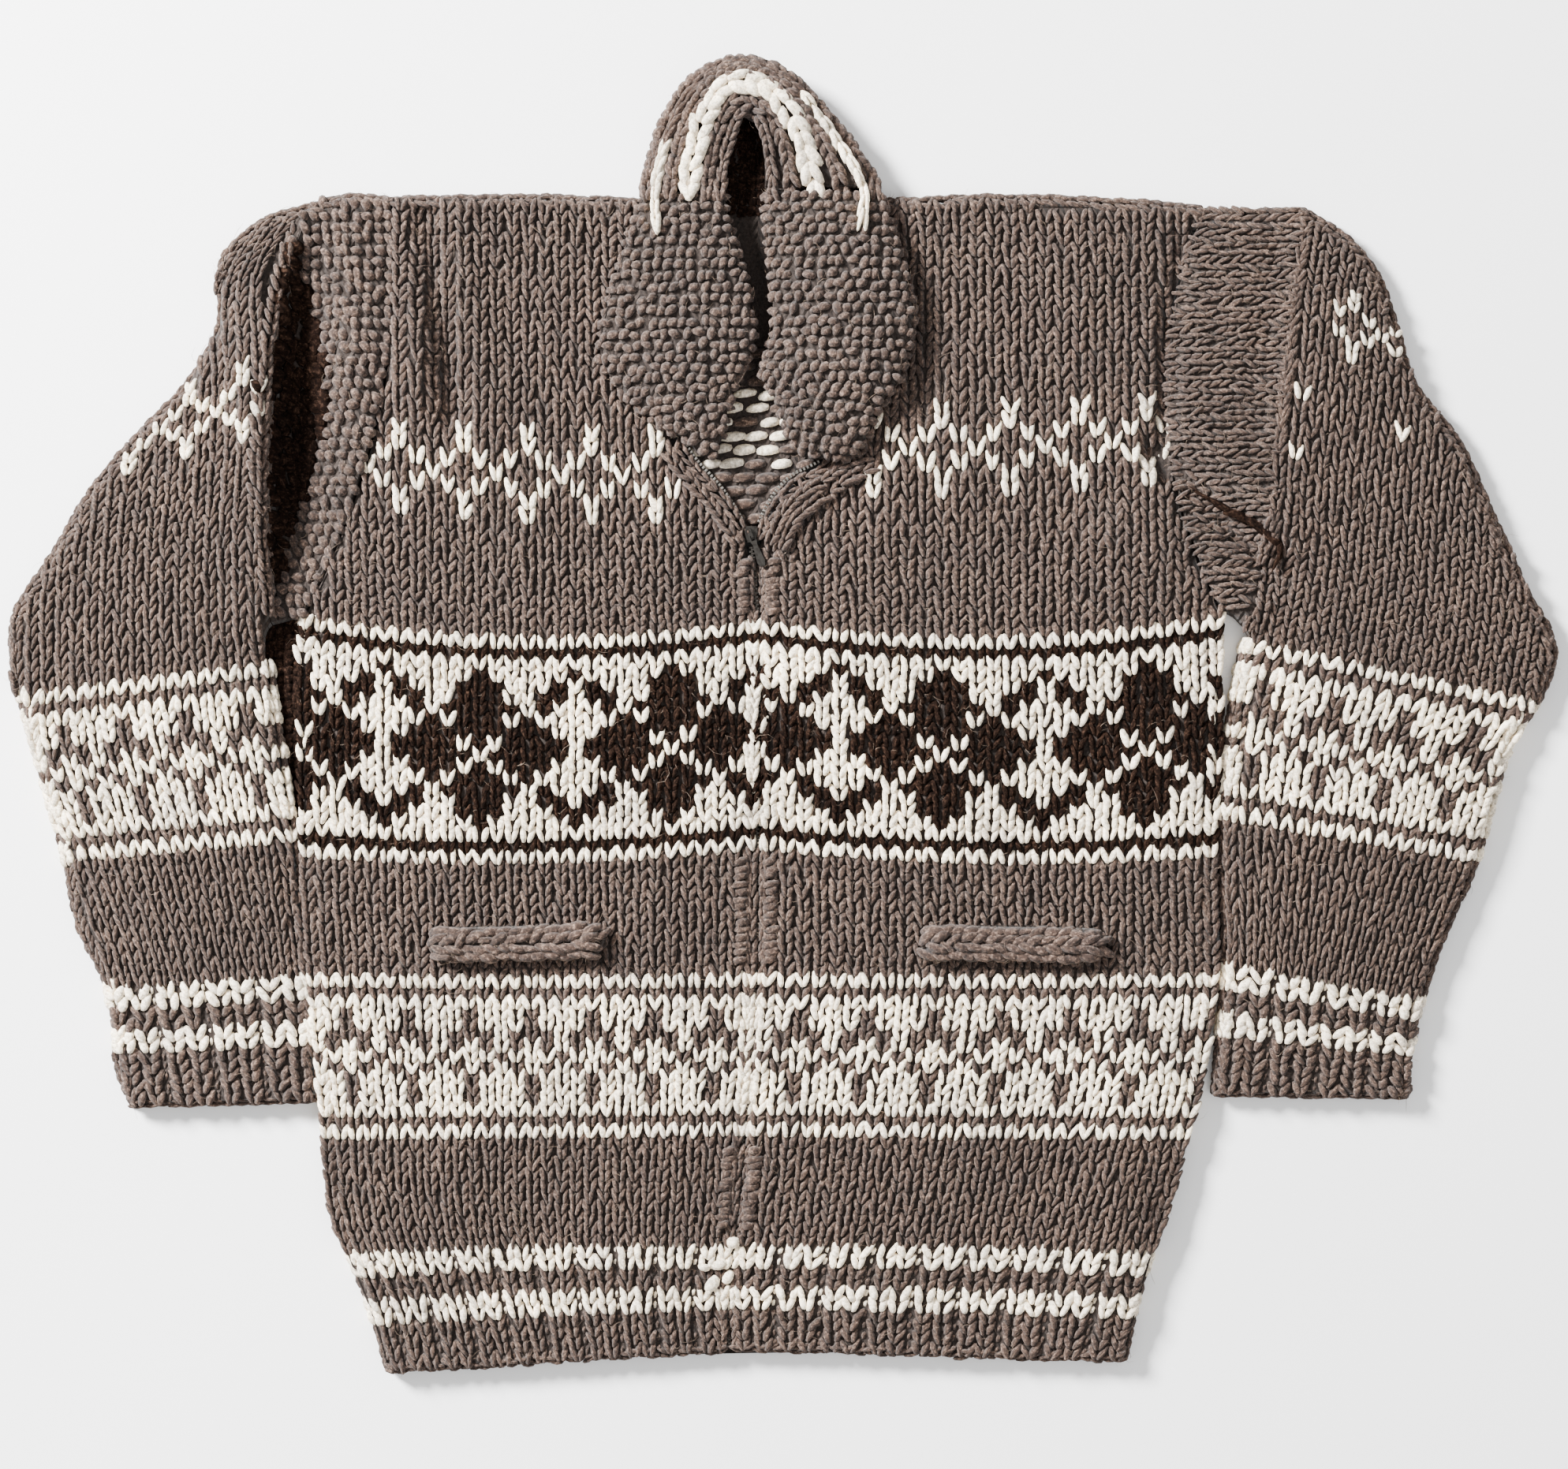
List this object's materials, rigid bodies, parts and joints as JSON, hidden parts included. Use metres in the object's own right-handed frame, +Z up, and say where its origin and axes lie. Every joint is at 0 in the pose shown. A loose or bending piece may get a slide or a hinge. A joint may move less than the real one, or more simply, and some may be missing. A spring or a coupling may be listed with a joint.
{
  "type": "cowichan sweater",
  "caption": "Chunky hand-knit zip cardigan with a shawl collar, pocket welts and banded colour work, laid flat with its front up.",
  "frame": {"origin": "middle of the laid garment's box, on the surface it lies on", "axes": "+X across the garment towards the wearer's left sleeve, +Y from the hem to the neck, +Z up from the surface, out of the fronts"},
  "size_m": [0.941, 0.797, 0.036],
  "materials": {
    "grey_brown_knit": "heathered chunky wool stocking stitch",
    "collar_knit": "heathered chunky wool garter stitch",
    "welt_knit": "thick braided wool edging",
    "cream_yarn": "undyed cream wool stitches",
    "dark_yarn": "very dark brown wool stitches",
    "black_tape": "woven zip tape",
    "zip_metal": "antique nickel",
    "dark_metal": "dark oxidised metal"
  },
  "bodies": {
    "garment": {"back": "grey_brown_knit", "front_right": "grey_brown_knit", "front_left": "grey_brown_knit", "sleeve_right": "grey_brown_knit", "sleeve_left": "grey_brown_knit", "lapel_right": "collar_knit", "lapel_left": "collar_knit", "collar_back": "collar_knit", "pocket_welt_right": "welt_knit", "pocket_welt_left": "welt_knit", "zip_tape_right": "black_tape", "zip_tape_left": "black_tape", "zip_chain": "zip_metal", "zip_teeth_right": "zip_metal", "zip_teeth_left": "zip_metal", "zip_slider": "dark_metal"},
    "pull_tab": {"zip_pull_tab": "dark_metal"}
  },
  "joints": [
    {"name": "pull_tab_hinge", "type": "hinge", "parent": "garment", "child": "pull_tab", "pos_m": [-0.0193, 0.111, 0.0141], "axis": [-0.9397, -0.342, 0], "range_deg": [0, 150]}
  ]
}
